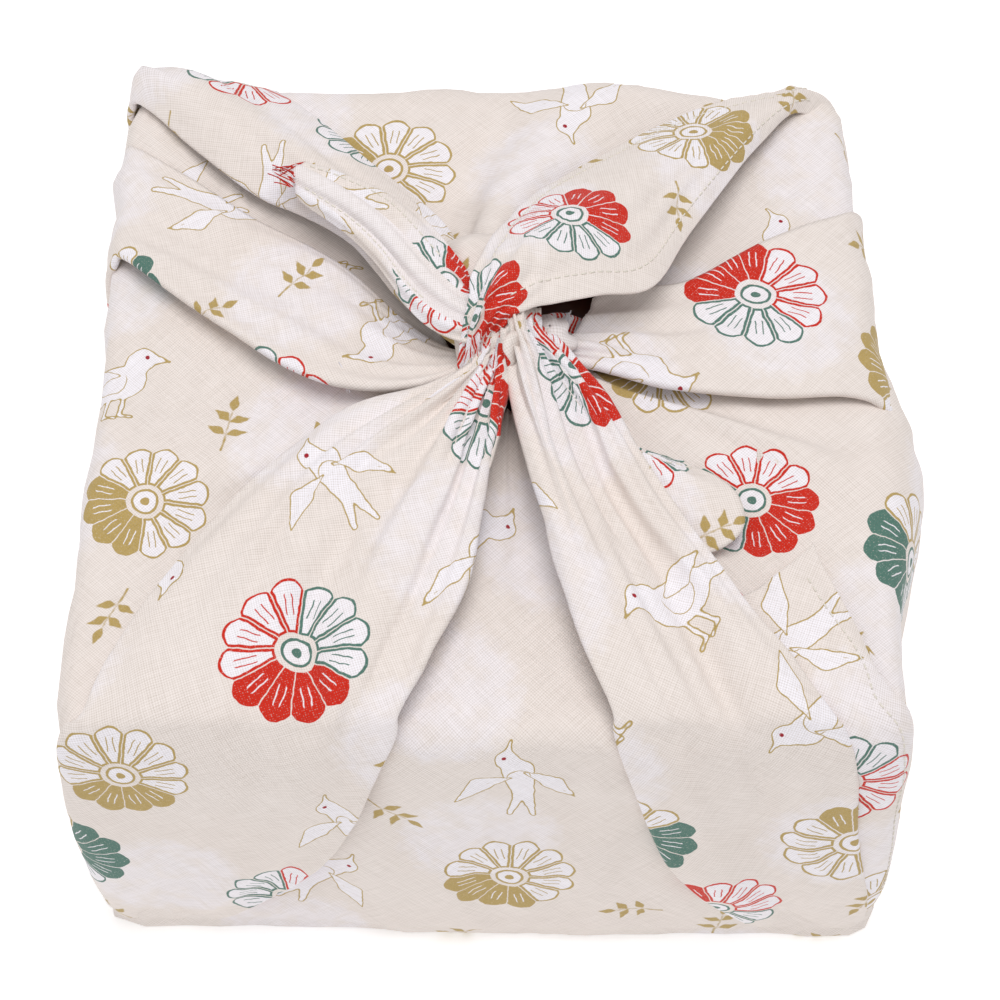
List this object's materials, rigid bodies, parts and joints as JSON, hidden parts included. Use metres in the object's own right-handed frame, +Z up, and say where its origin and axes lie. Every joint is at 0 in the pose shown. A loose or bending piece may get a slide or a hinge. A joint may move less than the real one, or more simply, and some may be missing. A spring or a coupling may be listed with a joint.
{
  "type": "furoshiki wrap on a lidded box",
  "caption": "Square printed cotton cloth tied over a lidded box, its corners gathered into a knot on top as a carrying hold.",
  "frame": {"origin": "middle of the base, on the surface that the wrap stands on", "axes": "+Z up out of the lid, +X to the right and -Y towards the viewer of the picture"},
  "size_m": [0.2186, 0.221, 0.1384],
  "materials": {
    "printed_cotton": "plain weave, matt",
    "brown_lacquer": "dark brown, satin"
  },
  "bodies": {
    "root": {"cloth": "printed_cotton", "box": "brown_lacquer"}
  },
  "joints": []
}
